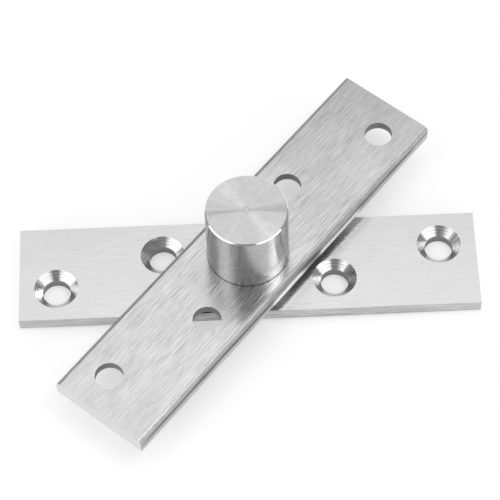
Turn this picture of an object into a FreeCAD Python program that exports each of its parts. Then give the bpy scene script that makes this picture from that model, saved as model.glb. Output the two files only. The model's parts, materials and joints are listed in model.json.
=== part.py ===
import FreeCAD, Part
import math
import os

# Pivot hinge for a door or panel. Two equal flat bars turn on one another about an upright
# axis. The lower bar is screwed to the floor or frame and carries a riveted shaft. The upper
# bar is screwed under the door and carries a turned housing with two deep-groove ball bearings.
#
# Millimetres. The origin is the pivot axis at the lower plate's outer face, +Z points from
# the lower plate to the housing, and +X runs along the lower plate.

# The two plates, cut from one drawn bar: both are the same blank, and the upper one is turned over
plate_length = 130.0
plate_width = 30.0
plate_thickness = 5.0
plate_edge_radius = 1.3  # the bar's long edges are rounded on its outer side only
plate_gap = 3.0
rest_angle = 49.4  # how far the upper plate is turned from the lower one, in degrees

# Screw holes in two staggered pairs, countersunk on the side that faces the other plate
hole_end_distance = 10.5  # from each end of the plate to its outer hole
inner_hole_spacing = 48.5
hole_stagger = 9.8
screw_hole_diameter = 8.0
countersink_diameter = 12.5
countersink_angle = 90.0

# Ball bearings, two alike
bearing_bore = 10.0
bearing_outside = 19.0
bearing_width = 5.0
bearing_chamfer = 0.3
bearing_spacing = 7.0  # from one bearing to the other, which the two spacers hold
ball_count = 10
ball_diameter = 2.381
race_depth = 0.45  # from the rings' shoulders to the bottom of the ball groove
race_play = 0.03  # free play of a ball at the bottom of each groove
cage_clearance = 0.2  # between the cage and each ring's shoulder
cage_pocket_play = 0.08
cage_prong_height = 0.65  # from the middle of the balls to the tips that hold them
cage_notch_radius = 0.55
shield_thickness = 0.25
shield_seat_depth = 0.5
shield_seat_step = 0.6  # how much wider the shield's seat is than the outer ring's shoulder
shield_gap = 0.15  # between a shield and the inner ring
spacer_wall = 1.2

# Bearing housing: a blind cup, open below, whose lower rim is flared under the upper plate
housing_wall = 2.0
housing_roof = 3.0
housing_shoulder = 1.0  # holds the upper bearing down on its outer ring
housing_chamfer = 0.35
housing_land_step = 0.2  # how much wider it is inside the plate, where it goes in from below
foot_relief_depth = 0.2  # fine groove turned round the housing's foot, just above the plate
foot_relief_height = 0.3
centre_mark_radius = 0.45  # the turning centre's mark in the roof
centre_mark_depth = 0.3

# Pivot shaft: flange in the gap, tail peened into the lower plate
tail_diameter = 12.0
flange_diameter = 26.0
shaft_end_length = 3.0  # beyond the upper bearing
shaft_end_gap = 1.3  # from the shaft's end to the housing's roof
shaft_chamfer = 0.8
washer_thickness = 0.8
running_gap = 0.2  # between the washer and the upper plate
peen_width = 0.9  # how far a peened or flared rim spreads past its hole
tail_recess = 0.05  # keeps the peened tail just inside the outer face

# Retaining rings
ring_thickness = 1.0
ring_groove_play = 0.1
shaft_groove_depth = 0.2
housing_groove_depth = 0.5
housing_rim_below_ring = 1.0
shaft_ring_band = 1.7
housing_ring_band = 1.9
ring_lug_radius = 1.15
ring_eye_radius = 0.6
ring_opening = 44.0  # degrees

# Fits
fit = 0.01  # a bearing ring on its shaft or in its housing
seat = 0.02  # a peened, sprung or slipped-on piece in its seat

# Heights of the stack, from the floor up
lower_plate_top = plate_thickness
upper_plate_bottom = lower_plate_top + plate_gap
upper_plate_top = upper_plate_bottom + plate_thickness
flange_top = upper_plate_bottom - running_gap - washer_thickness
housing_ring_bottom = upper_plate_bottom + housing_rim_below_ring
stack_bottom = housing_ring_bottom + ring_thickness
upper_bearing_bottom = stack_bottom + bearing_width + bearing_spacing
stack_top = upper_bearing_bottom + bearing_width
shaft_top = stack_top + shaft_end_length
roof_underside = shaft_top + shaft_end_gap
housing_top = roof_underside + housing_roof

# Radii that several pieces share
shaft_radius = bearing_bore / 2 - fit
housing_bore_radius = bearing_outside / 2 + fit
housing_radius = bearing_outside / 2 + housing_wall
housing_land_radius = housing_radius + housing_land_step
relief_radius = bearing_outside / 2 - housing_shoulder
pitch_radius = (bearing_bore + bearing_outside) / 4
ball_radius = ball_diameter / 2
inner_shoulder_radius = pitch_radius - ball_radius - race_play + race_depth
outer_shoulder_radius = pitch_radius + ball_radius + race_play - race_depth
shield_seat_radius = outer_shoulder_radius + shield_seat_step
tail_radius = tail_diameter / 2
collar_radius = (bearing_bore / 2 + inner_shoulder_radius) / 2 + seat


def cylinder(radius, bottom, top, x=0.0, y=0.0):
    """An upright cylinder between two heights."""
    return Part.makeCylinder(radius, top - bottom, FreeCAD.Vector(x, y, bottom))


def cone(bottom_radius, top_radius, bottom, top, x=0.0, y=0.0):
    """An upright cone frustum between two heights."""
    return Part.makeCone(bottom_radius, top_radius, top - bottom, FreeCAD.Vector(x, y, bottom))


def tube(inner_radius, outer_radius, bottom, top):
    """A plain sleeve about the pivot axis."""
    return cylinder(outer_radius, bottom, top).cut(cylinder(inner_radius, bottom, top))


def turned(section):
    """A solid of revolution about the pivot axis, from (radius, height) points taken in order."""
    points = [FreeCAD.Vector(radius, 0, height) for radius, height in section]
    face = Part.Face(Part.makePolygon(points + points[:1]))
    return face.revolve(FreeCAD.Vector(0, 0, 0), FreeCAD.Vector(0, 0, 1), 360)


def turned_to_rest(shape):
    """Turns a piece that moves with the upper plate to the hinge's rest angle."""
    shape = shape.copy()
    shape.rotate(FreeCAD.Vector(0, 0, 0), FreeCAD.Vector(0, 0, 1), rest_angle)
    return shape


def screw_holes():
    """Where the four screw holes are in the blank: outer and inner pairs, staggered across it."""
    outer = plate_length / 2 - hole_end_distance
    inner, side = inner_hole_spacing / 2, hole_stagger / 2
    return [(-outer, -side), (-inner, side), (inner, -side), (outer, side)]


def countersunk_hole(x, y):
    """Cutter for one screw hole through the blank, wide at the blank's upper face."""
    hole_radius, sink_radius = screw_hole_diameter / 2, countersink_diameter / 2
    slope = math.tan(math.radians(countersink_angle / 2))
    over = plate_thickness / 2
    hole = cylinder(hole_radius, -over, plate_thickness + over, x, y)
    mouth_height = plate_thickness + over
    tip_height = plate_thickness - (sink_radius - hole_radius) / slope
    mouth = cone(hole_radius, sink_radius + over * slope, tip_height, mouth_height, x, y)
    return hole.fuse(mouth)


def plate_blank():
    """One bar with its four holes, sunk from above. The outer side, with round edges, is at z = 0."""
    half, radius, top = plate_width / 2, plate_edge_radius, plate_thickness
    diagonal = radius * (1 - math.sqrt(0.5))

    def point(y, z):
        return FreeCAD.Vector(-plate_length / 2, y, z)

    outline = [
        Part.LineSegment(point(-half + radius, 0), point(half - radius, 0)),
        Part.Arc(point(half - radius, 0), point(half - diagonal, diagonal), point(half, radius)),
        Part.LineSegment(point(half, radius), point(half, top)),
        Part.LineSegment(point(half, top), point(-half, top)),
        Part.LineSegment(point(-half, top), point(-half, radius)),
        Part.Arc(point(-half, radius), point(-half + diagonal, diagonal), point(-half + radius, 0)),
    ]
    face = Part.Face(Part.Wire([piece.toShape() for piece in outline]))
    bar = face.extrude(FreeCAD.Vector(plate_length, 0, 0))
    return bar.cut([countersunk_hole(x, y) for x, y in screw_holes()])


def flared_hole(radius, bottom, top):
    """Cutter for a plate's centre hole, whose lower edge is opened for a flared or peened rim."""
    hole = cylinder(radius + seat, bottom - 1, top + 1)
    rim = cone(radius + seat + peen_width, radius + seat, bottom, bottom + peen_width)
    return hole.fuse(rim)


def lower_plate():
    return plate_blank().cut(flared_hole(tail_radius, 0, lower_plate_top))


def upper_plate():
    """The same blank turned over, so that its countersinks face the lower plate."""
    blank = plate_blank()
    blank.rotate(FreeCAD.Vector(0, 0, 0), FreeCAD.Vector(1, 0, 0), 180)
    blank.translate(FreeCAD.Vector(0, 0, upper_plate_top))
    centre_hole = flared_hole(housing_land_radius, upper_plate_bottom, upper_plate_top)
    return turned_to_rest(blank.cut(centre_hole))


def bearing_housing():
    """Turned cup: bore for the bearings, shoulder over the upper one, relief for the shaft's end."""
    groove_radius = housing_bore_radius + housing_groove_depth
    groove_bottom = housing_ring_bottom - ring_groove_play
    cup = turned([
        (housing_bore_radius, upper_plate_bottom),
        (housing_land_radius + peen_width, upper_plate_bottom),
        (housing_land_radius, upper_plate_bottom + peen_width),
        (housing_land_radius, upper_plate_top),
        (housing_radius - foot_relief_depth, upper_plate_top),
        (housing_radius - foot_relief_depth, upper_plate_top + foot_relief_height),
        (housing_radius, upper_plate_top + foot_relief_height),
        (housing_radius, housing_top - housing_chamfer),
        (housing_radius - housing_chamfer, housing_top),
        (0, housing_top),
        (0, roof_underside),
        (relief_radius, roof_underside),
        (relief_radius, stack_top),
        (housing_bore_radius, stack_top),
        (housing_bore_radius, stack_bottom),
        (groove_radius, stack_bottom),
        (groove_radius, groove_bottom),
        (housing_bore_radius, groove_bottom),
    ])
    mark = cone(0, centre_mark_radius, housing_top - centre_mark_depth, housing_top)
    return cup.cut(mark)


def pivot_shaft():
    """Turned shaft: peened tail, flange on the lower plate, collar under the bearings, journal."""
    groove_radius = shaft_radius - shaft_groove_depth
    groove_top = stack_top + ring_thickness + ring_groove_play
    return turned([
        (0, tail_recess),
        (tail_radius + peen_width - tail_recess, tail_recess),
        (tail_radius, peen_width),
        (tail_radius, lower_plate_top),
        (flange_diameter / 2, lower_plate_top),
        (flange_diameter / 2, flange_top),
        (collar_radius, flange_top),
        (collar_radius, stack_bottom),
        (shaft_radius, stack_bottom),
        (shaft_radius, stack_top),
        (groove_radius, stack_top),
        (groove_radius, groove_top),
        (shaft_radius, groove_top),
        (shaft_radius, shaft_top - shaft_chamfer),
        (shaft_radius - shaft_chamfer, shaft_top),
        (0, shaft_top),
    ])


def thrust_washer():
    """Lies on the shaft's flange and leaves the running gap under the upper plate."""
    return tube(collar_radius + seat, flange_diameter / 2, flange_top, flange_top + washer_thickness)


def at_angle(radius, degrees):
    """The x and y of a point at a radius and an angle about the pivot axis."""
    turn = math.radians(degrees)
    return radius * math.cos(turn), radius * math.sin(turn)


def retaining_ring(seat_radius, band, bottom, grips_outside):
    """A sprung ring, widest opposite its opening, with an eye in a lug at each end.

    It grips a shaft from outside at seat_radius, or presses outwards into a housing's groove."""
    top = bottom + ring_thickness
    offset = band * 0.16
    side = 1 if grips_outside else -1
    free_radius = seat_radius + side * (band - offset)
    lug_centre_radius = seat_radius + side * (band - ring_lug_radius / 2)
    half_opening = math.radians(ring_opening / 2)
    lug_angle = ring_opening / 2 + math.degrees(math.asin(ring_lug_radius / lug_centre_radius))
    lugs = [at_angle(lug_centre_radius, angle) for angle in (-lug_angle, lug_angle)]
    discs = [cylinder(ring_lug_radius, bottom, top, x, y) for x, y in lugs]

    seat_disc = cylinder(seat_radius, bottom, top)
    free_disc = cylinder(free_radius, bottom, top, -side * offset)
    if grips_outside:
        band_solid = free_disc.fuse(discs).cut(seat_disc)
    else:
        band_solid = seat_disc.cut(free_disc).fuse([disc.common(seat_disc) for disc in discs])

    reach = 4 * (seat_radius + band)
    corners = [(0, 0), at_angle(reach, -ring_opening / 2), at_angle(reach, ring_opening / 2)]
    points = [FreeCAD.Vector(x, y, bottom) for x, y in corners]
    wedge = Part.Face(Part.makePolygon(points + points[:1]))
    opening = wedge.extrude(FreeCAD.Vector(0, 0, ring_thickness))
    eyes = [cylinder(ring_eye_radius, bottom, top, x, y) for x, y in lugs]
    return band_solid.cut([opening] + eyes)


def ball_groove(middle):
    """Cutter for the groove that the balls run in, the same for both rings."""
    groove_radius = ball_radius + race_play
    return Part.makeTorus(pitch_radius, groove_radius, FreeCAD.Vector(0, 0, middle))


def inner_ring(bottom):
    top, bore, chamfer = bottom + bearing_width, bearing_bore / 2, bearing_chamfer
    blank = turned([
        (bore, bottom + chamfer),
        (bore + chamfer, bottom),
        (inner_shoulder_radius, bottom),
        (inner_shoulder_radius, top),
        (bore + chamfer, top),
        (bore, top - chamfer),
    ])
    return blank.cut(ball_groove(bottom + bearing_width / 2))


def outer_ring(bottom):
    """Outer ring with a seat for a shield at each side."""
    top, outside, chamfer = bottom + bearing_width, bearing_outside / 2, bearing_chamfer
    blank = turned([
        (shield_seat_radius, bottom),
        (outside - chamfer, bottom),
        (outside, bottom + chamfer),
        (outside, top - chamfer),
        (outside - chamfer, top),
        (shield_seat_radius, top),
        (shield_seat_radius, top - shield_seat_depth),
        (outer_shoulder_radius, top - shield_seat_depth),
        (outer_shoulder_radius, bottom + shield_seat_depth),
        (shield_seat_radius, bottom + shield_seat_depth),
    ])
    return blank.cut(ball_groove(bottom + bearing_width / 2))


def balls(bottom):
    """The bearing's balls, evenly spaced round the pitch circle, as separate solids."""
    middle = bottom + bearing_width / 2
    angles = [360 * index / ball_count for index in range(ball_count)]
    places = [FreeCAD.Vector(*at_angle(pitch_radius, angle), middle) for angle in angles]
    return Part.makeCompound([Part.makeSphere(ball_radius, place) for place in places])


def crown_cage(bottom):
    """One-piece cage: a ring below the balls, with prongs that snap round each of them."""
    middle = bottom + bearing_width / 2
    inner = inner_shoulder_radius + cage_clearance
    outer = outer_shoulder_radius - cage_clearance
    floor = bottom + shield_seat_depth + shield_gap
    tips = middle + cage_prong_height
    step = 360 / ball_count

    def radial_cut(radius, height, degrees):
        """Cutter that runs out from the axis at a height, at an angle about the axis."""
        start = FreeCAD.Vector(0, 0, height)
        return Part.makeCylinder(radius, outer + 1, start, FreeCAD.Vector(*at_angle(1, degrees), 0))

    pocket_radius = ball_radius + cage_pocket_play
    pockets = [radial_cut(pocket_radius, middle, step * index) for index in range(ball_count)]
    notches = [
        radial_cut(cage_notch_radius, tips, step * (index + 0.5)) for index in range(ball_count)
    ]
    return tube(inner, outer, floor, tips).cut(pockets + notches)


def shield(face, direction):
    """A pressed shield in the outer ring. face is the bearing's side, direction points inwards."""
    outer, inner = shield_seat_radius - seat, inner_shoulder_radius + shield_gap
    sheet = face + direction * shield_seat_depth
    rim = face + direction * shield_gap
    outside_of_sheet = sheet - direction * shield_thickness
    return turned([
        (inner, sheet),
        (outer, sheet),
        (outer, rim),
        (outer - shield_thickness, rim),
        (outer - shield_thickness, outside_of_sheet),
        (inner, outside_of_sheet),
    ])


def bearing(name, bottom):
    """One shielded ball bearing, as node name to shape."""
    top = bottom + bearing_width
    return {
        f"{name}_inner_ring": inner_ring(bottom),
        f"{name}_outer_ring": outer_ring(bottom),
        f"{name}_balls": balls(bottom),
        f"{name}_cage": crown_cage(bottom),
        f"{name}_bottom_shield": shield(bottom, 1),
        f"{name}_top_shield": shield(top, -1),
    }


def spacers():
    """Two sleeves between the bearings: one carries the inner rings, one the outer rings."""
    bottom, top = stack_bottom + bearing_width, upper_bearing_bottom
    bore, outside = bearing_bore / 2 + seat, bearing_outside / 2 - seat
    return {
        "inner_spacer": tube(bore, bore + spacer_wall, bottom, top),
        "outer_spacer": tube(outside - spacer_wall, outside, bottom, top),
    }


def retaining_rings():
    shaft_seat = shaft_radius - shaft_groove_depth + seat
    housing_seat = housing_bore_radius + housing_groove_depth - seat
    housing_ring = retaining_ring(housing_seat, housing_ring_band, housing_ring_bottom, False)
    return {
        "shaft_circlip": retaining_ring(shaft_seat, shaft_ring_band, stack_top, True),
        "housing_circlip": turned_to_rest(housing_ring),
    }


nodes = {
    "lower_plate": lower_plate(),
    "pivot_shaft": pivot_shaft(),
    "thrust_washer": thrust_washer(),
    "upper_plate": upper_plate(),
    "bearing_housing": bearing_housing(),
    **bearing("lower_bearing", stack_bottom),
    **bearing("upper_bearing", upper_bearing_bottom),
    **spacers(),
    **retaining_rings(),
}

os.makedirs("parts", exist_ok=True)
for node, shape in nodes.items():
    shape.exportStep(f"parts/{node}.step")
    print(f"{node}: {len(shape.Solids)} solid(s), {shape.Volume:.2f} mm3, valid {shape.isValid()}")
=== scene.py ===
# %% [markdown]
# Pivot hinge, dressed. The CAD model already has every piece at its true size: two flat bars that
# turn on one another, a turned housing on the upper bar, and the bearings inside it. It is loaded
# as a fixed frame, so nothing here moves a piece or changes a size. What this file adds is the
# finish: brushed flats, turned faces, shiny sunk holes, and the light that makes them readable.

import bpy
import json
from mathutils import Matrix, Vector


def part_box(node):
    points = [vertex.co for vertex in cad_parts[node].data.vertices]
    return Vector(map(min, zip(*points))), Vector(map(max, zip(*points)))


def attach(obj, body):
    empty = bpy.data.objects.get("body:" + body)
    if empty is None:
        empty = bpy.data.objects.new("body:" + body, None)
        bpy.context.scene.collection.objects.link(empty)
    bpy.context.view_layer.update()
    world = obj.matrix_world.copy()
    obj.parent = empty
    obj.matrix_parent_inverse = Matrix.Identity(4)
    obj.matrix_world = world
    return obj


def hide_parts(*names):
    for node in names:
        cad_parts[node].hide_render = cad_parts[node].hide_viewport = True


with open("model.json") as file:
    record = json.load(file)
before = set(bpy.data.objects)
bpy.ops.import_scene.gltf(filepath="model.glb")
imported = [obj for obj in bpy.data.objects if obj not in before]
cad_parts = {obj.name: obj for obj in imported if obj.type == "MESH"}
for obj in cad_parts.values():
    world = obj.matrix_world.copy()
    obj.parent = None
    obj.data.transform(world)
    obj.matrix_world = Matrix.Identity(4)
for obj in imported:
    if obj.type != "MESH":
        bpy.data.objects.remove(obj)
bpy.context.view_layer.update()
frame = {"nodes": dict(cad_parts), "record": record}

# %% [markdown]
# The other modules. Everything is in metres, so a size in millimetres is written as a number
# times MM, and an angle in degrees goes through radians(). The Standard view shows every colour
# as it was rendered.

# %% Modules and units
import json
from math import cos, degrees, pi, radians, sin

import bmesh
import bpy
from mathutils import Vector

MM = 0.001
scene = bpy.context.scene
scene.view_settings.view_transform = "Standard"
print("view transform:", scene.view_settings.view_transform)

# %% [markdown]
# The camera looks down on the hinge from the front through a long lens, so parallel edges stay
# nearly parallel. Its place, turn and focal length were worked out from the corners and holes
# that the photograph shows, with the plates' size taken as known.

# %% Camera
SENSOR_WIDTH = 36.0
FRAME_PIXELS = 500
FOCAL_PIXELS = 2376.24
CAMERA_PLACE = (-2.39145 * MM, -354.47251 * MM, 578.86515 * MM)
CAMERA_TURN = (0.55986, 0.01771, -0.03674)

camera_data = bpy.data.cameras.new("camera")
camera_data.sensor_width = SENSOR_WIDTH
camera_data.lens = FOCAL_PIXELS * SENSOR_WIDTH / FRAME_PIXELS
camera_data.clip_start = 10 * MM
camera = bpy.data.objects.new("camera", camera_data)
camera.location = CAMERA_PLACE
camera.rotation_euler = CAMERA_TURN
scene.collection.objects.link(camera)
scene.camera = camera
print(f"lens {camera_data.lens:.1f} mm, {camera.location.length:.2f} m from the pivot")

# %% [markdown]
# Shader and geometry maths reads better as Python than as a list of nodes and links. This class
# wraps one output socket: arithmetic on it adds Math nodes, and add() makes any other node from
# its type, its settings and its inputs. Settings go first, because some of them change which
# sockets a node has. A short sum in a tree of its own shows it at work.

# %% A socket that does arithmetic
class Wire:
    """An output socket of a node tree. Arithmetic on it adds Math nodes."""

    def __init__(self, socket):
        self.socket = socket

    @staticmethod
    def add(tree, kind, settings=None, inputs=None, output=0):
        """Adds a node: its settings first, then the values or links of its inputs."""
        node = tree.nodes.new(kind)
        for name, value in (settings or {}).items():
            setattr(node, name, value)
        for key, values in (inputs or {}).items():
            for value in values if isinstance(values, list) else [values]:
                if isinstance(value, Wire):
                    tree.links.new(value.socket, node.inputs[key])
                else:
                    node.inputs[key].default_value = value
        return Wire(node.outputs[output]) if len(node.outputs) else None

    @staticmethod
    def math(operation, *values):
        """Adds a Math node for one or two values, of which at least one is a wire."""
        tree = next(value.socket.id_data for value in values if isinstance(value, Wire))
        settings = {"operation": operation}
        return Wire.add(tree, "ShaderNodeMath", settings, dict(enumerate(values)))

    def __add__(self, other):
        return Wire.math("ADD", self, other)

    def __sub__(self, other):
        return Wire.math("SUBTRACT", self, other)

    def __mul__(self, other):
        return Wire.math("MULTIPLY", self, other)

    def __truediv__(self, other):
        return Wire.math("DIVIDE", self, other)

    def __mod__(self, other):
        return Wire.math("FLOORED_MODULO", self, other)

    def __gt__(self, other):
        return Wire.math("GREATER_THAN", self, other)

    def __lt__(self, other):
        return Wire.math("LESS_THAN", self, other)

    def __abs__(self):
        return Wire.math("ABSOLUTE", self)

    def __radd__(self, other):
        return Wire.math("ADD", other, self)

    def __rsub__(self, other):
        return Wire.math("SUBTRACT", other, self)

    def __rmul__(self, other):
        return Wire.math("MULTIPLY", other, self)

    def __rtruediv__(self, other):
        return Wire.math("DIVIDE", other, self)

    def __rmod__(self, other):
        return Wire.math("FLOORED_MODULO", other, self)


trial = bpy.data.node_groups.new("trial", "ShaderNodeTree")
faded = 1.0 - 0.5 * abs(Wire.add(trial, "ShaderNodeValue"))
print(f"1 - 0.5 * abs(value) is {len(trial.nodes)} nodes, the last of them", faded.socket.node.name)
bpy.data.node_groups.remove(trial)

# %% [markdown]
# The studio. A brushed metal face shows the lamps more than its own colour, so the lamps are
# chosen by what mirrors them. From this camera the flat tops mirror the room behind the hinge, at
# about 58 degrees up, and a big softbox hangs there. It is narrow from side to side, which turns
# the housing's top darker to the left and right of its centre, and its lower edge dims the upper
# plate's far end. The 45 degree faces, which are the sunk holes and the housing's chamfer, mirror
# the room at the front and the sides: two long softboxes stand there with a dark gap between them.
# The two high ones show in the housing's wall, by way of the plate below it, as a light band on
# each side of its dark middle, and the right one also lights the floor. Radiance 1 shows a colour
# as it is written.

# %% Lamps
WATTS_PER_SQUARE_METRE = 4.0    # of an area lamp whose radiance is 1


def softbox(name, azimuth, elevation, distance, width, height, radiance):
    """A flat lamp that faces the pivot. Azimuth 0 is in front, at -Y, and 90 is to the right."""
    data = bpy.data.lights.new(name, "AREA")
    data.shape = "RECTANGLE"
    data.size, data.size_y = width, height
    data.energy = WATTS_PER_SQUARE_METRE * radiance * width * height
    lamp = bpy.data.objects.new(name, data)
    side, up = radians(azimuth), radians(elevation)
    lamp.location = distance * Vector((sin(side) * cos(up), -cos(side) * cos(up), sin(up)))
    lamp.rotation_euler = lamp.location.to_track_quat("Z", "Y").to_euler()
    scene.collection.objects.link(lamp)
    print(f"{name}: {data.energy:.2f} W")


softbox("softbox_behind", azimuth=180, elevation=76, distance=1.3,
        width=0.84, height=1.10, radiance=0.54)
softbox("softbox_high_right", azimuth=84, elevation=63, distance=1.2,
        width=0.5, height=0.4, radiance=2.8)
softbox("softbox_high_left", azimuth=-66, elevation=52, distance=1.2,
        width=0.5, height=0.6, radiance=0.9)
softbox("softbox_left", azimuth=-59, elevation=20, distance=1.2,
        width=1.80, height=0.6, radiance=0.88)
softbox("softbox_right", azimuth=50, elevation=22, distance=1.2,
        width=1.35, height=0.6, radiance=0.88)

# %% [markdown]
# The room is a soft fill, brightest in the direction that the flat tops mirror and dark in front,
# where the photographer stands. Light Path tells which rays are asking: rays from the camera or
# through glass see plain white instead, so the background is white without any more light on the
# hinge.

# %% Room
ROOM_LOW, ROOM_HIGH = 0.20, 0.44
MIRRORED = (0.0, 0.52, 0.85)
LOW_UNTIL, HIGH_FROM = -0.1, 0.9


def asks(tree, kind):
    """1 for rays of one kind, and 0 for any other ray."""
    return Wire.add(tree, "ShaderNodeLightPath", output=f"Is {kind} Ray")


world = bpy.data.worlds.new("room")
world.use_nodes = True
world.node_tree.nodes.clear()
scene.world = world
tree = world.node_tree
toward = Wire.add(tree, "ShaderNodeVectorMath", {"operation": "DOT_PRODUCT"}, {
    0: Wire.add(tree, "ShaderNodeTexCoord", output="Generated"), 1: MIRRORED,
}, output="Value")
fill = Wire.add(tree, "ShaderNodeMapRange", None, {
    "Value": toward, "From Min": LOW_UNTIL, "From Max": HIGH_FROM,
    "To Min": ROOM_LOW, "To Max": ROOM_HIGH,
})
seen = Wire.math("MAXIMUM", asks(tree, "Camera"), asks(tree, "Transmission"))
Wire.add(tree, "ShaderNodeOutputWorld", None, {
    "Surface": Wire.add(tree, "ShaderNodeBackground", None, {
        "Color": (1.0, 1.0, 1.0, 1.0), "Strength": fill + seen * (1.0 - fill),
    }),
})
print(f"room: {ROOM_LOW} in front to {ROOM_HIGH} behind, {len(tree.nodes)} nodes")

# %% [markdown]
# What every material needs: an empty tree, a point's place and its distance from the pivot axis,
# a grey, a soft step from 0 to 1, and the last node, which shows a shader. The place comes from
# Object coordinates, so that a finish stays on its piece when the hinge turns.

# %% Helpers for materials
def new_finish(name):
    """A material with an empty node tree."""
    material = bpy.data.materials.new(name)
    material.use_nodes = True
    material.node_tree.nodes.clear()
    return material, material.node_tree


def coordinates(tree):
    """Where a point of the object is: the vector, and its x, y and z."""
    place = Wire.add(tree, "ShaderNodeTexCoord", output="Object")
    apart = Wire.add(tree, "ShaderNodeSeparateXYZ", None, {"Vector": place})
    x, y, z = (Wire(socket) for socket in apart.socket.node.outputs)
    return place, x, y, z


def from_axis(x, y):
    """How far a point is from the pivot axis."""
    return Wire.math("SQRT", x * x + y * y)


def grey(tree, tone):
    """A colour from one number or wire."""
    return Wire.add(tree, "ShaderNodeCombineColor", None, {
        "Red": tone, "Green": tone, "Blue": tone,
    })


def step(value, start, end):
    """A soft step of a wire: 0 up to start, 1 from end on."""
    return Wire.add(value.socket.id_data, "ShaderNodeMapRange", {
        "interpolation_type": "SMOOTHSTEP",
    }, {"Value": value, "From Min": start, "From Max": end, "To Min": 0.0, "To Max": 1.0})


def show(tree, shader):
    """Ends a material's tree with its shader."""
    Wire.add(tree, "ShaderNodeOutputMaterial", None, {"Surface": shader})


print("helpers for materials: new_finish, coordinates, from_axis, grey, step, show")

# %% [markdown]
# The floor is part glow and part real diffuse, for the camera and for mirror rays, so it reads as
# white and keeps the hinge's shadow. Away from the hinge, where no shadow falls, the diffuse part
# fades out and the glow takes over, so the floor stays pale up to the horizon. For every other
# ray it is plain white paper, which throws the lamps' light back up at the hinge.

# %% Floor
CAMERA_GLOW, MIRROR_GLOW = 0.40, 0.26
CAMERA_SHADE, MIRROR_SHADE = 0.83, 0.71
CAMERA_FAR, MIRROR_FAR = 1.00, 0.85
PAPER_SHADE = 0.8
SHADOW_REACH = (45 * MM, 95 * MM)
FLOOR_SIZE = 6.0

floor_finish, tree = new_finish("pale_floor")
_, x, y, _ = coordinates(tree)
near = 1.0 - step(from_axis(x, y), *SHADOW_REACH)
camera_ray = asks(tree, "Camera")
mirror_ray = Wire.math("MAXIMUM", asks(tree, "Glossy"), asks(tree, "Transmission"))
paper = PAPER_SHADE * (1.0 - camera_ray) * (1.0 - mirror_ray)
shade = paper + near * (CAMERA_SHADE * camera_ray + MIRROR_SHADE * mirror_ray)
camera_glow = CAMERA_FAR + (CAMERA_GLOW - CAMERA_FAR) * near
mirror_glow = MIRROR_FAR + (MIRROR_GLOW - MIRROR_FAR) * near
show(tree, Wire.add(tree, "ShaderNodeAddShader", None, {
    0: Wire.add(tree, "ShaderNodeEmission", None, {
        "Strength": camera_glow * camera_ray + mirror_glow * mirror_ray,
    }),
    1: Wire.add(tree, "ShaderNodeBsdfDiffuse", None, {"Color": grey(tree, shade)}),
}))

half = FLOOR_SIZE / 2
floor_mesh = bpy.data.meshes.new("floor")
floor_mesh.from_pydata(
    [(-half, -half, 0), (half, -half, 0), (half, half, 0), (-half, half, 0)], [], [(0, 1, 2, 3)])
floor_mesh.materials.append(floor_finish)
floor = bpy.data.objects.new("floor", floor_mesh)
scene.collection.objects.link(floor)
print(f"floor: {FLOOR_SIZE} m square, {len(tree.nodes)} nodes")

# %% [markdown]
# One blank, two plates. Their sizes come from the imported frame, so that the dressed plates are
# exactly as large as the solids: the boxes give the bar, and the screw mounts give the holes. What
# neither of them says, such as the countersinks and the rounded edges, is written here as the
# solids have it.

# %% Sizes of the plates, from the frame
low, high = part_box("lower_plate")
PLATE_LENGTH, PLATE_WIDTH, PLATE_THICKNESS = (b - a for a, b in zip(low, high))
UPPER_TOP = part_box("upper_plate")[1][2]

mounts = {mount["name"]: mount for mount in frame["record"]["mounts"]}
pair = mounts["lower_right_screws"]
PAIR_CENTRE = pair["pos_m"][0]
PAIR_REACH = pair["dims"]["pcd_mm"] * MM / 2
HOLE_RADIUS = pair["dims"]["hole_r_mm"] * MM
SINK_RADIUS = 6.25 * MM
HOLE_STAGGER = 4.9 * MM
HALF_STEP = (PAIR_REACH**2 - HOLE_STAGGER**2) ** 0.5
EDGE_RADIUS = 1.3 * MM
PEEN_WIDTH = 0.9 * MM
LOWER_BORE_RADIUS = 6.02 * MM
UPPER_BORE_RADIUS = 11.72 * MM
EDGE_BREAK = 0.15 * MM
far_pair = Vector(mounts["upper_far_screws"]["pos_m"][:2])
REST_TURN = far_pair.angle_signed(Vector((1.0, 0.0)))
print(f"plate {PLATE_LENGTH / MM:.1f} x {PLATE_WIDTH / MM:.1f} x {PLATE_THICKNESS / MM:.1f} mm")
print(f"holes {(PAIR_CENTRE - HALF_STEP) / MM:.2f} and {(PAIR_CENTRE + HALF_STEP) / MM:.2f} mm out")
print(f"upper plate turned {degrees(REST_TURN):.2f} degrees")

# %% [markdown]
# Steel, first as one helper. Every metal piece here is the same kind of surface: a mirror whose
# blur, tone and tiny relief change from place to place. The helper takes those three and fills
# one Principled shader. Sizes of relief are in metres, because Bump works in real units.

# %% Steel
def bump(tree, relief, depth):
    """A relief for a shader's Normal. It runs from 0 to 1, and 1 is depth high."""
    return Wire.add(tree, "ShaderNodeBump", None, {
        "Strength": 1.0, "Distance": depth, "Height": relief,
    })


def metal_shader(tree, tone, roughness, relief, depth, stretch=0.0, stretch_turn=0.0):
    """A metal surface. tone and roughness may vary, and relief from 0 to 1 is depth high."""
    return Wire.add(tree, "ShaderNodeBsdfPrincipled", None, {
        "Base Color": grey(tree, tone), "Metallic": 1.0, "Roughness": roughness,
        "Anisotropic": stretch, "Anisotropic Rotation": stretch_turn,
        "Normal": bump(tree, relief, depth),
    })


def steel(tree, tone, roughness, relief, depth):
    """Ends a material with one metal surface."""
    show(tree, metal_shader(tree, tone, roughness, relief, depth))


print("helpers for metal: bump, metal_shader, steel")

# %% [markdown]
# The marks that tools leave are noise, drawn in three ways: spots with no direction, ripples
# along one number such as a height, and streaks that a Mapping node stretches along a plate. All
# of them run from 0 to 1 about a half, so a mark is added as its share times the noise less a
# half, and the mean tone stays.

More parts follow.
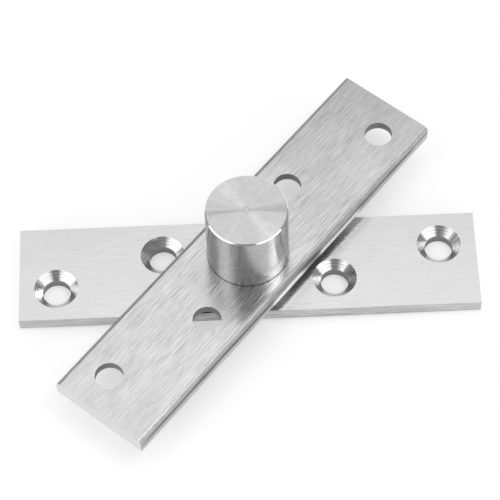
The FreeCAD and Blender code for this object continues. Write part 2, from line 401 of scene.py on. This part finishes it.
# %% Tool marks
def spots(tree, place, size, detail=3.0):
    """Noise with no direction, in spots about size across."""
    inputs = {"Vector": place, "Scale": 1 / size, "Detail": detail}
    return Wire.add(tree, "ShaderNodeTexNoise", None, inputs)


def ripples(value, scale=1.0, detail=3.0):
    """Noise along one number: a new ripple for about every 1 / scale of it."""
    inputs = {"W": value, "Scale": scale, "Detail": detail}
    return Wire.add(
        value.socket.id_data, "ShaderNodeTexNoise", {"noise_dimensions": "1D"}, inputs)


def streaks(tree, turn, length, width, detail=2.0):
    """Noise drawn out along a plate whose long side is turned from +X. Sizes in metres."""
    place = Wire.add(tree, "ShaderNodeTexCoord", output="Object")
    along = Wire.add(tree, "ShaderNodeMapping", {"vector_type": "TEXTURE"}, {
        "Vector": place, "Rotation": (0.0, 0.0, turn), "Scale": (length, width, width),
    })
    return spots(tree, along, 1.0, detail)


def from_end(tree, turn):
    """How far a point of a plate is from its ends: 0 at either end, 1 in the middle."""
    _, x, y, _ = coordinates(tree)
    return 1.0 - abs(x * cos(turn) + y * sin(turn)) / (PLATE_LENGTH / 2)


print("tool marks: spots, ripples, streaks, and from_end for where they lie")

# %% [markdown]
# The rounded edges carry a painted dark reflection: a dark line low on a rounded edge and just
# below it, with a wavy border. Near the plate's ends the line thins away in streaks. The first
# helper says where along a plate the painted line lies, and the second how far below the face.

# %% Painted dark band
# The painted dark band: its frayed ends, its wavy border, and how far below a face it lies.
FRAY_LENGTH, FRAY_WIDTH, FRAY_SHARE = 14 * MM, 0.8 * MM, 0.7
BAND_NONE_UNTIL, BAND_WHOLE_FROM = -0.05, 0.10
WAVE_LENGTH, WAVE_WIDTH, WAVE_HEIGHT = 9 * MM, 0.9 * MM, 1.3 * MM
BAND_START, BAND_FULL = 0.9 * MM, 1.7 * MM
BAND_FADES, BAND_GONE = 2.5 * MM, 3.4 * MM


def painted_band_along(tree, turn):
    """Where, along a plate, the painted dark band lies: 1 but near its ends, where it frays in
    streaks.
    """
    fray = streaks(tree, turn, FRAY_LENGTH, FRAY_WIDTH)
    return step(from_end(tree, turn) + FRAY_SHARE * (fray - 0.5), BAND_NONE_UNTIL, BAND_WHOLE_FROM)


def painted_band_below(tree, turn, face_height):
    """1 in the corner below a rounded face at some height, 0 on the face and far down the side."""
    wavy = streaks(tree, turn, WAVE_LENGTH, WAVE_WIDTH)
    z = coordinates(tree)[3]
    below = abs(z - face_height) + WAVE_HEIGHT * (wavy - 0.5)
    return step(below, BAND_START, BAND_FULL) * (1.0 - step(below, BAND_FADES, BAND_GONE))


print(f"dark skin from {BAND_START / MM:.1f} to {BAND_GONE / MM:.1f} mm below a rounded face")

# %% [markdown]
# The plates' flat faces were drawn lengthwise over a coarse belt. That leaves grooves a fifth of
# a millimetre wide and some millimetres long, in bunches, with small mottles and larger cloudy
# patches where the belt pressed harder. Streaks make all four, each at its own scale. The belt
# presses least at a plate's ends, so the grooves are faint there. The upper plate needs the same
# pattern turned to the angle that it rests at. The long sides are drawn the same way with coarser
# grooves, and their tones are painted light and shade, set for how light falls on each side.
# The sawn ends are dull, and their pale tone is a painted highlight.

# %% Brushed faces
GROOVE_LENGTH, GROOVE_WIDTH, GROOVE_SHARE = 6.5 * MM, 0.20 * MM, 0.62
BUNCH_LENGTH, BUNCH_WIDTH, BUNCH_SHARE = 16 * MM, 0.5 * MM, 0.18
MOTTLE_LENGTH, MOTTLE_WIDTH, MOTTLE_SHARE = 2.5 * MM, 1.1 * MM, 0.13
CLOUD_LENGTH, CLOUD_WIDTH, CLOUD_SHARE = 24 * MM, 8 * MM, 0.20
GROOVE_RELIEF, BUNCH_RELIEF = 0.55, 0.45
PRESS_AT_END, PRESS_GAIN = 0.42, 0.95
BLUR_SHARE = 0.3
# How much the painted dark band darkens the upper plate's sides.
SIDE_PAINTED_BAND = 0.70


def brushed(name, turn, tone, blur, contrast, depth, coarse=1.0, painted_band_under=None):
    """A long-grain brushed face. contrast scales the streaks' tone and blur."""
    material, tree = new_finish(name)
    groove = streaks(tree, turn, GROOVE_LENGTH, coarse * GROOVE_WIDTH, detail=1.0)
    bunch = streaks(tree, turn, BUNCH_LENGTH, coarse * BUNCH_WIDTH, detail=1.0)
    mottle = streaks(tree, turn, MOTTLE_LENGTH, MOTTLE_WIDTH)
    cloud = streaks(tree, turn, CLOUD_LENGTH, CLOUD_WIDTH)
    press = PRESS_AT_END + PRESS_GAIN * from_end(tree, turn)
    grain = press * (GROOVE_SHARE * (groove - 0.5) + BUNCH_SHARE * (bunch - 0.5))
    grain = grain + MOTTLE_SHARE * (mottle - 0.5) + CLOUD_SHARE * (cloud - 0.5)
    shade = tone + contrast * grain
    # The painted dark band, just below a rounded face.
    if painted_band_under is not None:
        painted_band = painted_band_along(tree, turn) * painted_band_below(tree, turn, painted_band_under)
        shade = shade * (1.0 - SIDE_PAINTED_BAND * painted_band)
    relief = GROOVE_RELIEF * groove + BUNCH_RELIEF * bunch
    steel(tree, shade, blur + BLUR_SHARE * contrast * grain, relief, depth)
    return material


print(f"grooves {GROOVE_WIDTH / MM:.1f} mm wide, {GROOVE_LENGTH / MM:.1f} mm long")

# %% [markdown]
# The screw holes were sunk with a turning tool, so the sunk walls carry fine rings and shine like
# a mirror beside the brushed face. The drilled walls below are rougher, and their dark tone is
# painted shade for the inside of the holes. The rounded long edges were half brushed with the
# face, and carry the painted dark band low down. On the upper plate, whose rounded edges show,
# the painted band goes on a little way down the sides, and brushed() adds it.

# %% Holes and rolled edges
CHATTER_SIZE, CHATTER_SHIFT, CHATTER_BLUR = 1.2 * MM, 1.5, 0.12
BORED_SHARE = 0.5
ROLLED_LENGTH, ROLLED_WIDTH, ROLLED_DEPTH = 4 * MM, 0.30 * MM, 0.03 * MM
ROLLED_TONE, ROLLED_SHARE = 0.61, 0.6
ROLLED_BLUR, ROLLED_BLUR_SHARE = 0.40, 0.2
# How much the painted dark reflection darkens a rounded edge: towards the plate's middle, and low
# down.
EDGE_PAINTED_BAND, CORNER_PAINTED_BAND = 0.27, 0.45


def bored(name, tone, blur, ring_width, depth):
    """A wall cut by a turning tool about an upright axis, with rings at every height."""
    material, tree = new_finish(name)
    place, _, _, height = coordinates(tree)
    chatter = spots(tree, place, CHATTER_SIZE)
    rings = ripples(height / ring_width + CHATTER_SHIFT * chatter, detail=2.0)
    shade = tone + BORED_SHARE * (rings - 0.5)
    steel(tree, shade, blur + CHATTER_BLUR * chatter, rings, depth)
    return material


def rolled_edge(name, turn, face_height):
    """A rounded edge with uneven streaks, and a painted dark reflection that fades toward the
    plate's ends.
    """
    material, tree = new_finish(name)
    rolled = streaks(tree, turn, ROLLED_LENGTH, ROLLED_WIDTH, detail=3.0)
    # The painted dark reflection: stronger towards the plate's middle and low on the edge.
    dark = EDGE_PAINTED_BAND * from_end(tree, turn) + CORNER_PAINTED_BAND * painted_band_below(tree, turn, face_height)
    shade = ROLLED_TONE + ROLLED_SHARE * (rolled - 0.5)
    shade = shade * (1.0 - dark * painted_band_along(tree, turn))
    steel(tree, shade, ROLLED_BLUR + ROLLED_BLUR_SHARE * (rolled - 0.5), rolled, ROLLED_DEPTH)
    return material


print(f"rounded edges keep their skin: up to {EDGE_PAINTED_BAND + CORNER_PAINTED_BAND:.0%} darker")

# %% [markdown]
# Helpers for any tree: one opens a node group with named inputs, one runs it on an empty object.
# A modifier keeps its inputs under each socket's identifier, so the names are looked up first.
# new_from_object then freezes the result as a plain mesh, which is all that the hinge keeps.

# %% Tree helpers
CRISP_ANGLE = radians(30)


def rule(name, inputs):
    """A Geometry Nodes group with named inputs. Returns it and a wire from each input."""
    group = bpy.data.node_groups.new(name, "GeometryNodeTree")
    for label, kind in inputs.items():
        group.interface.new_socket(label, in_out="INPUT", socket_type=f"NodeSocket{kind}")
    group.interface.new_socket("Geometry", in_out="OUTPUT", socket_type="NodeSocketGeometry")
    entry = group.nodes.new("NodeGroupInput")
    return group, {label: Wire(entry.outputs[label]) for label in inputs}


def frozen(name, group, values, edge_break=0.0):
    """Runs a group with its inputs set, and returns the result as an object with a plain mesh."""
    shell = bpy.data.objects.new(f"{name}.rule", bpy.data.meshes.new(f"{name}.rule"))
    scene.collection.objects.link(shell)
    modifier = shell.modifiers.new("rule", "NODES")
    modifier.node_group = group
    for item in group.interface.items_tree:
        if item.in_out == "INPUT":
            modifier[item.identifier] = values[item.name]
    if edge_break:
        bevel = shell.modifiers.new("edge break", "BEVEL")
        bevel.width, bevel.segments = edge_break, 1
        bevel.limit_method, bevel.angle_limit = "ANGLE", CRISP_ANGLE
    depsgraph = bpy.context.evaluated_depsgraph_get()
    mesh = bpy.data.meshes.new_from_object(
        shell.evaluated_get(depsgraph), preserve_all_data_layers=True, depsgraph=depsgraph)
    bpy.data.objects.remove(shell)
    mesh.name = name
    piece = bpy.data.objects.new(name, mesh)
    scene.collection.objects.link(piece)
    return piece


print("helpers for trees: rule, frozen")

# %% [markdown]
# Smooth shading blends the light across every edge. On a machined piece that would smear the
# shine of a flat face over the rounded edge beside it. So the steep edges stay sharp, and each
# edge of a level face does too, once the next face turns away by a degree.

# %% Crisp edges
LEVEL_ANGLE = radians(1)
LEVEL = 0.9999                  # the upright part of a level face's normal


def smooth_but_crisp(piece):
    """Smooth shading, with each steep edge, and each one beside a level face, kept sharp."""
    shape = bmesh.new()
    shape.from_mesh(piece.data)
    for face in shape.faces:
        face.smooth = True
    for edge in shape.edges:
        turn = edge.calc_face_angle(pi)
        level = any(abs(face.normal.z) > LEVEL for face in edge.link_faces)
        edge.smooth = turn < CRISP_ANGLE and not (level and turn > LEVEL_ANGLE)
    open_edges = sum(not edge.is_manifold for edge in shape.edges)
    print(f"{piece.name}: {len(shape.faces)} faces, {open_edges} open edges")
    shape.to_mesh(piece.data)
    shape.free()


print(f"edges steeper than {degrees(CRISP_ANGLE):.0f} degrees stay crisp")

# %% [markdown]
# The rule for a plate. Both bars follow it: a drawn profile with two rounded edges, a bore in
# the middle, and four sunk holes whose places come from two distances and one side step. A
# profile curve is filled and extruded into the bar, each kind of cutter is put on the four
# points, and Mesh Boolean cuts them out. A bmesh script could do it too, but with named inputs
# the second plate is the first one with other values: turned over, lifted and turned.

# %% The rule's inputs
group, size = rule("drilled_bar", {
    "Length": "Float", "Width": "Float", "Thickness": "Float", "Edge Radius": "Float",
    "Pair Centre": "Float", "Half Step": "Float", "Stagger": "Float",
    "Hole Radius": "Float", "Sink Radius": "Float", "Bore Radius": "Float", "Bore Flare": "Float",
    "Flare At Sunk Side": "Bool", "Turned Over": "Float", "Lift": "Float", "Turn": "Float",
    "Face Finish": "Material", "Side Finish": "Material", "End Finish": "Material",
    "Sink Finish": "Material", "Bore Finish": "Material", "Edge Finish": "Material",
})


def make(kind, settings=None, inputs=None, output=0):
    """A node in the tree that is being built."""
    return Wire.add(group, kind, settings, inputs, output)


def vector(x=0.0, y=0.0, z=0.0):
    """A vector from numbers or wires."""
    return make("ShaderNodeCombineXYZ", None, {"X": x, "Y": y, "Z": z})


def part_of(vector_wire, letter):
    """The X, Y or Z of a vector."""
    return make("ShaderNodeSeparateXYZ", None, {"Vector": vector_wire}, letter)


print("inputs of the plate's rule:", ", ".join(size))

# %% [markdown]
# The bar. Its profile lies flat, with the bar's outer side at -Y, and only the corners on that
# side are round. Extruded and closed, it is laid down along X. Its faces then get their finishes
# by which way they look.

# %% The bar
ROUND_STEPS = 8
WELD = 0.001 * MM
SQUARE_ON = 0.999               # how far a normal points along an axis that its face is square to

profile_height = part_of(make("GeometryNodeInputPosition"), "Y")
profile = make("GeometryNodeFillCurve", {"mode": "NGONS"}, {
    "Curve": make("GeometryNodeFilletCurve", {"mode": "POLY"}, {
        "Curve": make("GeometryNodeCurvePrimitiveQuadrilateral", None, {
            "Width": size["Width"], "Height": size["Thickness"],
        }),
        "Count": ROUND_STEPS,
        "Radius": size["Edge Radius"] * (profile_height < 0.0),
    }),
})
sides = make("GeometryNodeExtrudeMesh", {"mode": "FACES"}, {
    "Mesh": profile, "Offset": vector(z=size["Length"]), "Individual": False,
})
end = make("GeometryNodeFlipFaces", None, {"Mesh": profile})
closed = make("GeometryNodeMergeByDistance", None, {
    "Geometry": make("GeometryNodeJoinGeometry", None, {"Geometry": [sides, end]}),
    "Distance": WELD,
})
bar = make("GeometryNodeTransform", None, {
    "Geometry": closed,
    "Translation": vector(x=size["Length"] * -0.5, z=size["Thickness"] * 0.5),
    "Rotation": (radians(90), 0.0, radians(90)),
})
facing = make("GeometryNodeInputNormal")
for label, toward in ("Face", None), ("Side", "Y"), ("End", "X"):
    chosen = True if toward is None else abs(part_of(facing, toward)) > SQUARE_ON
    bar = make("GeometryNodeSetMaterial", None, {
        "Geometry": bar, "Selection": chosen, "Material": size[f"{label} Finish"],
    })
print("the bar:", len(group.nodes), "nodes")

# %% [markdown]
# The cutters. The four screw holes are points first: their index, counted from the middle, gives
# the distance along the bar, and odd or even gives the side that they step to. Each cutter runs
# past the faces that it cuts, because a boolean on surfaces that coincide can leave slivers.

# %% Holes
HOLE_COUNT = 4
HOLE_STEPS = 96
OVERCUT = 0.7 * MM

from_middle = make("GeometryNodeInputIndex") - (HOLE_COUNT - 1) / 2
along = Wire.math("SIGN", from_middle) * (
    size["Pair Centre"] + 2.0 * size["Half Step"] * (abs(from_middle) - 1.0))
across = size["Stagger"] * (2.0 * (make("GeometryNodeInputIndex") % 2.0) - 1.0)
places = make("GeometryNodePoints", None, {
    "Count": HOLE_COUNT, "Position": vector(along, across),
})


def cutter(bottom_radius, top_radius, bottom, top, finish, points=None):
    """A cone frustum between two heights, on each of the points or once on the pivot axis."""
    cone = make("GeometryNodeMeshCone", None, {
        "Vertices": HOLE_STEPS, "Radius Bottom": bottom_radius, "Radius Top": top_radius,
        "Depth": top - bottom,
    }, "Mesh")
    cone = make("GeometryNodeTransform", None, {"Geometry": cone, "Translation": vector(z=bottom)})
    if points is not None:
        cone = make("GeometryNodeInstanceOnPoints", None, {"Points": points, "Instance": cone})
        cone = make("GeometryNodeRealizeInstances", None, {"Geometry": cone})
    return make("GeometryNodeSetMaterial", None, {"Geometry": cone, "Material": size[finish]})


top = size["Thickness"]
hole, sink, bore, flare = [
    size[label] for label in ("Hole Radius", "Sink Radius", "Bore Radius", "Bore Flare")]
sink_foot = top - (sink - hole)
drills = cutter(hole, hole, -OVERCUT, top + OVERCUT, "Bore Finish", places)
sinks = cutter(
    hole - OVERCUT, sink + OVERCUT, sink_foot - OVERCUT, top + OVERCUT, "Sink Finish", places)
shaft_hole = cutter(bore, bore, -OVERCUT, top + OVERCUT, "Bore Finish")
wide, narrow = bore + flare + OVERCUT, bore - OVERCUT
flares = make("GeometryNodeSwitch", {"input_type": "GEOMETRY"}, {
    "Switch": size["Flare At Sunk Side"],
    "False": cutter(wide, narrow, -OVERCUT, flare + OVERCUT, "Bore Finish"),
    "True": cutter(narrow, wide, top - flare - OVERCUT, top + OVERCUT, "Bore Finish"),
})
drilled = make("GeometryNodeMeshBoolean", {"operation": "DIFFERENCE", "solver": "MANIFOLD"}, {
    "Mesh 1": bar, "Mesh 2": [drills, sinks, shaft_hole, flares],
}, "Mesh")
print("with its cutters:", len(group.nodes), "nodes")

# %% [markdown]
# The end of the rule. The rounded edges are the faces that lean and lie near the long sides. That
# has to be asked before the plate is turned to its place, so the answer travels along as an
# attribute, and Set Material reads it last.

# %% Place and finishes of a plate
LEAN = 0.02                     # how far down a normal points, at the least, on a rounded edge

down = part_of(make("GeometryNodeInputNormal"), "Z")
side = abs(part_of(make("GeometryNodeInputPosition"), "Y"))
at_side = side > size["Width"] * 0.5 - size["Edge Radius"]
marked = make("GeometryNodeStoreNamedAttribute", {"data_type": "BOOLEAN", "domain": "FACE"}, {
    "Geometry": drilled, "Name": "rolled", "Value": at_side * (down < -LEAN) * (down > -SQUARE_ON),
})
flipped = make("GeometryNodeTransform", None, {
    "Geometry": marked, "Rotation": vector(x=size["Turned Over"]),
})
placed = make("GeometryNodeTransform", None, {
    "Geometry": flipped, "Translation": vector(z=size["Lift"]), "Rotation": vector(z=size["Turn"]),
})
rolled = make("GeometryNodeInputNamedAttribute", {"data_type": "BOOLEAN"}, {"Name": "rolled"})
finished = make("GeometryNodeSetMaterial", None, {
    "Geometry": make("GeometryNodeRealizeInstances", None, {"Geometry": placed}),
    "Selection": rolled, "Material": size["Edge Finish"],
})
make("NodeGroupOutput", None, {"Geometry": finished})
print("plate rule:", len(group.nodes), "nodes")

# %% [markdown]
# Both plates from the one rule. The lower one lies as it was drawn, sunk side up. The upper one is
# turned over about its length, so its plain side is on top, and then turned about the pivot. It
# was brushed harder, so its streaks are the stronger ones.

# %% The two plates
GROOVE_DEPTH = 0.008 * MM

shared = {
    "Length": PLATE_LENGTH, "Width": PLATE_WIDTH, "Thickness": PLATE_THICKNESS,
    "Edge Radius": EDGE_RADIUS, "Pair Centre": PAIR_CENTRE, "Half Step": HALF_STEP,
    "Stagger": HOLE_STAGGER, "Hole Radius": HOLE_RADIUS, "Sink Radius": SINK_RADIUS,
    "Bore Flare": PEEN_WIDTH,
    "Sink Finish": bored(
        "sunk_walls", tone=0.80, blur=0.13, ring_width=0.30 * MM, depth=0.010 * MM),
    # The drilled walls' dark tone is painted shade for the inside of the holes.
    "Bore Finish": bored(
        "drilled_walls", tone=0.30, blur=0.30, ring_width=0.35 * MM, depth=0.015 * MM),
}
plates = {
    "lower_plate": {
        "Bore Radius": LOWER_BORE_RADIUS, "Flare At Sunk Side": False,
        "Turned Over": 0.0, "Lift": 0.0, "Turn": 0.0,
    },
    "upper_plate": {
        "Bore Radius": UPPER_BORE_RADIUS, "Flare At Sunk Side": True,
        "Turned Over": pi, "Lift": UPPER_TOP, "Turn": REST_TURN,
    },
}
face_looks = {
    "lower_plate": {"tone": 0.785, "blur": 0.28, "contrast": 0.52},
    "upper_plate": {"tone": 0.655, "blur": 0.23, "contrast": 1.45},
}
# The sides' tones are painted light and shade, set for how light falls on each side.
side_tones = {"lower_plate": 0.67, "upper_plate": 0.66}
# Only the upper plate's sides get the painted dark band, below its top.
painted_bands_under = {"lower_plate": None, "upper_plate": UPPER_TOP}
for node, own in plates.items():
    turn, look = own["Turn"], face_looks[node]
    own["Face Finish"] = brushed(
        f"{node}_face", turn, depth=GROOVE_DEPTH * look["contrast"], **look)
    own["Side Finish"] = brushed(
        f"{node}_side", turn, tone=side_tones[node], blur=0.34, contrast=1.1,
        depth=GROOVE_DEPTH, coarse=1.9, painted_band_under=painted_bands_under[node])
    # The ends' pale tone is a painted highlight.
    own["End Finish"] = brushed(
        f"{node}_end", turn, tone=0.96, blur=0.50, contrast=0.4, depth=GROOVE_DEPTH)
    own["Edge Finish"] = rolled_edge(f"{node}_edge", turn, own["Lift"])

bodies_of = {"lower_plate": "lower_leaf", "upper_plate": "upper_leaf"}
for node, own in plates.items():
    piece = frozen(f"{node}_brushed", group, {**shared, **own}, edge_break=EDGE_BREAK)
    smooth_but_crisp(piece)
    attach(piece, bodies_of[node])
    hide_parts(node)

# %% [markdown]
# The housing, shaft and spacers came off a lathe. The tool leaves fine rings: round the top, and
# round the wall like a very fine thread. One coordinate covers both, the distance from the axis
# plus the height, since one of the two is constant on each face. Such rings also stretch every
# reflection across themselves, which is what makes the two fans on a turned disc. Principled's
# Anisotropic does that. Its own direction runs round the axis, and a quarter turn points it out.

# %% Lathe cuts
QUARTER_TURN = 0.25
RING_SHARE, RING_RELIEF = 0.16, 0.7
PATCH_SIZE, PATCH_SHARE, PATCH_BLUR, PATCH_RELIEF = 1.6 * MM, 0.25, 0.10, 0.3


def lathe_cut(tree, marks, tone, blur, ring_width, depth, stretch):
    """One pass of the tool. marks is what else changes the tone there."""
    place, x, y, z = coordinates(tree)
    patches = spots(tree, place, PATCH_SIZE, detail=4.0)
    rings = ripples((from_axis(x, y) + z) / ring_width)
    shade = tone + RING_SHARE * (rings - 0.5) + PATCH_SHARE * (patches - 0.5) + marks
    relief = RING_RELIEF * rings + PATCH_RELIEF * patches
    return metal_shader(
        tree, shade, blur + PATCH_BLUR * (patches - 0.5), relief, depth, stretch, QUARTER_TURN)


print("lathe cuts: rings about the pivot, with reflections stretched across them")

# %% [markdown]
# The housing's top has two narrow darker fans, left and right of its centre, painted as shade on
# its tone beside those that its stretched reflections make. The tool stopped short of the centre,
# and left a small nib, drawn as a lighter centre in a darker ring. The housing's wall is finer than
# its top, so its shader mixes two finishes by height, and the wall's lower tone is painted shade.
# The chamfer between them was cut last with a sharp tool; its raised tone is a painted highlight.

# %% Turned steel
# The fans of painted shade: their line, their width and their border.
FAN_SLOPE, FAN_ROOT = -0.04, 0.2 * MM
FAN_CORE, FAN_BORDER = 0.02, 0.26
FLUTTER_SCALE, FLUTTER_SPREAD, FLUTTER_SHARE = 5.0, 0.25, 0.11
NIB_RADIUS, NIB_RING = 0.8 * MM, 0.4 * MM
NIB_RING_DARK, NIB_LIGHT = 0.20, 0.10
RUB_SIZE, RUB_SHARE = 0.7 * MM, 0.16
EDGE_HEIGHT = 0.32 * MM
# The chamfer's painted highlight, and how much crisper its reflection is.
CHAMFER_PAINTED_HIGHLIGHT, EDGE_CRISP = 0.40, 0.14
HOUSING_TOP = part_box("bearing_housing")[1][2]
TOP_REACH = 0.05 * MM           # the top's finish reaches this far down


def facing_marks_and_painted_fans(x, y, dark):
    """The top's tone: flutter, two fans of painted shade darker by dark, and a nib in a ring."""
    radius = from_axis(x, y)
    flutter = ripples(Wire.math("ARCTAN2", y, x), scale=FLUTTER_SCALE)
    off_line = abs(y + FAN_SLOPE * x) / (radius + FAN_ROOT)
    fan = 1.0 - step(off_line + FLUTTER_SPREAD * (flutter - 0.5), FAN_CORE, FAN_BORDER)
    nib_ring = 1.0 - step(abs(radius - NIB_RADIUS), 0.0, NIB_RING)
    nib = NIB_LIGHT * (radius < NIB_RADIUS)
    return FLUTTER_SHARE * (flutter - 0.5) - dark * fan - NIB_RING_DARK * nib_ring + nib


def turned(name, top, wall, split, fans):
    """Steel off a lathe on the pivot axis: the cut named top above split, wall below it."""
    material, tree = new_finish(name)
    place, x, y, z = coordinates(tree)
    rubs = spots(tree, place, RUB_SIZE)
    chamfer = z > split - EDGE_HEIGHT
    # The top's two fans are painted shade.
    top_cut = lathe_cut(tree, facing_marks_and_painted_fans(x, y, fans), **top)
    # On the wall, the chamfer's raised tone is a painted highlight.
    wall_cut = lathe_cut(tree, RUB_SHARE * (rubs - 0.5) + CHAMFER_PAINTED_HIGHLIGHT * chamfer, **{
        **wall, "blur": wall["blur"] - EDGE_CRISP * chamfer,
    })
    show(tree, Wire.add(tree, "ShaderNodeMixShader", None, {
        0: z > split, 1: wall_cut, 2: top_cut,
    }))
    print(f"{name}: {len(tree.nodes)} nodes")
    return material


turned_steel = turned(
    "turned_steel", fans=0.16, split=HOUSING_TOP - TOP_REACH,
    top={"tone": 0.73, "blur": 0.29, "ring_width": 0.28 * MM, "depth": 0.003 * MM,
         "stretch": 0.85},
    # The wall's tone, lower than the top's, is painted shade.
    wall={"tone": 0.585, "blur": 0.24, "ring_width": 0.22 * MM, "depth": 0.003 * MM,
          "stretch": 0.75})

# %% [markdown]
# The rest of the bearings. Rings and balls are ground, shields are pressed from sheet, and the
# retaining rings are blackened spring steel: one helper with a fine even grain does all three. The
# cages and the washer are moulded plastic, which is two close colours in soft patches.

# %% Plain metal and plastic
SPECKLE_SHARE, SPECKLE_BLUR = 0.12, 0.15
TINT_SIZE = 3 * MM
PLASTIC_BLUR, PLASTIC_BLUR_SHARE = 0.42, 0.2
MIX_FACTOR, MIX_FIRST, MIX_SECOND, MIX_RESULT = 0, 6, 7, 2      # a Mix node's colour sockets


def plain_metal(name, tone, blur, grain, depth):
    """Ground, pressed or blackened steel: a fine even grain with no direction."""
    material, tree = new_finish(name)
    speckle = spots(tree, coordinates(tree)[0], grain)
    shade = tone + SPECKLE_SHARE * (speckle - 0.5)
    steel(tree, shade, blur + SPECKLE_BLUR * (speckle - 0.5), speckle, depth)
    return material


def moulded(name, colour, second_colour, grain, depth):
    """Moulded plastic: two close colours in soft patches, and a fine dull grain."""
    material, tree = new_finish(name)
    place = coordinates(tree)[0]
    grained = spots(tree, place, grain, detail=2.0)
    mixed = Wire.add(tree, "ShaderNodeMix", {"data_type": "RGBA"}, {
        MIX_FACTOR: spots(tree, place, TINT_SIZE, detail=2.0),
        MIX_FIRST: colour, MIX_SECOND: second_colour,
    }, MIX_RESULT)
    show(tree, Wire.add(tree, "ShaderNodeBsdfPrincipled", None, {
        "Base Color": mixed, "Roughness": PLASTIC_BLUR + PLASTIC_BLUR_SHARE * (grained - 0.5),
        "Normal": bump(tree, grained, depth),
    }))
    return material


slot_finishes = {
    "turned_steel": turned_steel,
    "bearing_steel": plain_metal(
        "ground_steel", tone=0.75, blur=0.14, grain=0.4 * MM, depth=0.001 * MM),
    "shield_steel": plain_metal(
        "pressed_steel", tone=0.66, blur=0.28, grain=0.3 * MM, depth=0.002 * MM),
    "spring_steel": plain_metal(
        "blackened_steel", tone=0.16, blur=0.42, grain=0.2 * MM, depth=0.003 * MM),
    "cage_plastic": moulded(
        "cage_polyamide", (0.82, 0.80, 0.72, 1.0), (0.76, 0.73, 0.63, 1.0),
        grain=0.15 * MM, depth=0.004 * MM),
    "washer_plastic": moulded(
        "washer_acetal", (0.90, 0.90, 0.88, 1.0), (0.84, 0.84, 0.82, 1.0),
        grain=0.12 * MM, depth=0.003 * MM),
}
print("finishes:", ", ".join(finish.name for finish in slot_finishes.values()))

# %% [markdown]
# Every other CAD piece keeps its own mesh, because its shape is right, and gets the finish that
# its material slot in the record asks for.

# %% Finishes for the CAD pieces
for part in frame["record"]["subparts"]:
    if part["material_slot"] in slot_finishes:
        mesh = frame["nodes"][part["node"]].data
        for index in range(len(mesh.materials)):
            mesh.materials[index] = slot_finishes[part["material_slot"]]

# %% [markdown]
# The bearing balls. Ten equal balls on a circle are a rule as well: points round the pitch circle,
# a ball on each. The tree runs once for each bearing, so that each set of balls stays one piece on
# its own body and goes round with its cage.

# %% Balls
BALL_COUNT = 10
BALL_SUBDIVISIONS = 4

group, size = rule("ball_set", {
    "Count": "Int", "Pitch Radius": "Float", "Ball Radius": "Float", "Height": "Float",
    "Finish": "Material",
})
circle = make("GeometryNodeCurvePrimitiveCircle", None, {
    "Resolution": size["Count"], "Radius": size["Pitch Radius"],
})
ball = make("GeometryNodeSetShadeSmooth", None, {
    "Geometry": make("GeometryNodeMeshIcoSphere", None, {
        "Radius": size["Ball Radius"], "Subdivisions": BALL_SUBDIVISIONS,
    }),
})
ring = make("GeometryNodeTransform", None, {
    "Geometry": make("GeometryNodeInstanceOnPoints", None, {"Points": circle, "Instance": ball}),
    "Translation": vector(z=size["Height"]),
})
make("NodeGroupOutput", None, {
    "Geometry": make("GeometryNodeSetMaterial", None, {
        "Geometry": make("GeometryNodeRealizeInstances", None, {"Geometry": ring}),
        "Material": size["Finish"],
    }),
})

for place in ("lower", "upper"):
    low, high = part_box(f"{place}_bearing_balls")
    ball_radius = (high[2] - low[2]) / 2
    piece = frozen(f"{place}_balls", group, {
        "Count": BALL_COUNT, "Pitch Radius": high[0] - ball_radius, "Ball Radius": ball_radius,
        "Height": (low[2] + high[2]) / 2, "Finish": slot_finishes["bearing_steel"],
    })
    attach(piece, f"{place}_ball_set")
    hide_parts(f"{place}_bearing_balls")
    print(f"{piece.name}: {BALL_COUNT} balls of {2 * ball_radius / MM:.3f} mm")
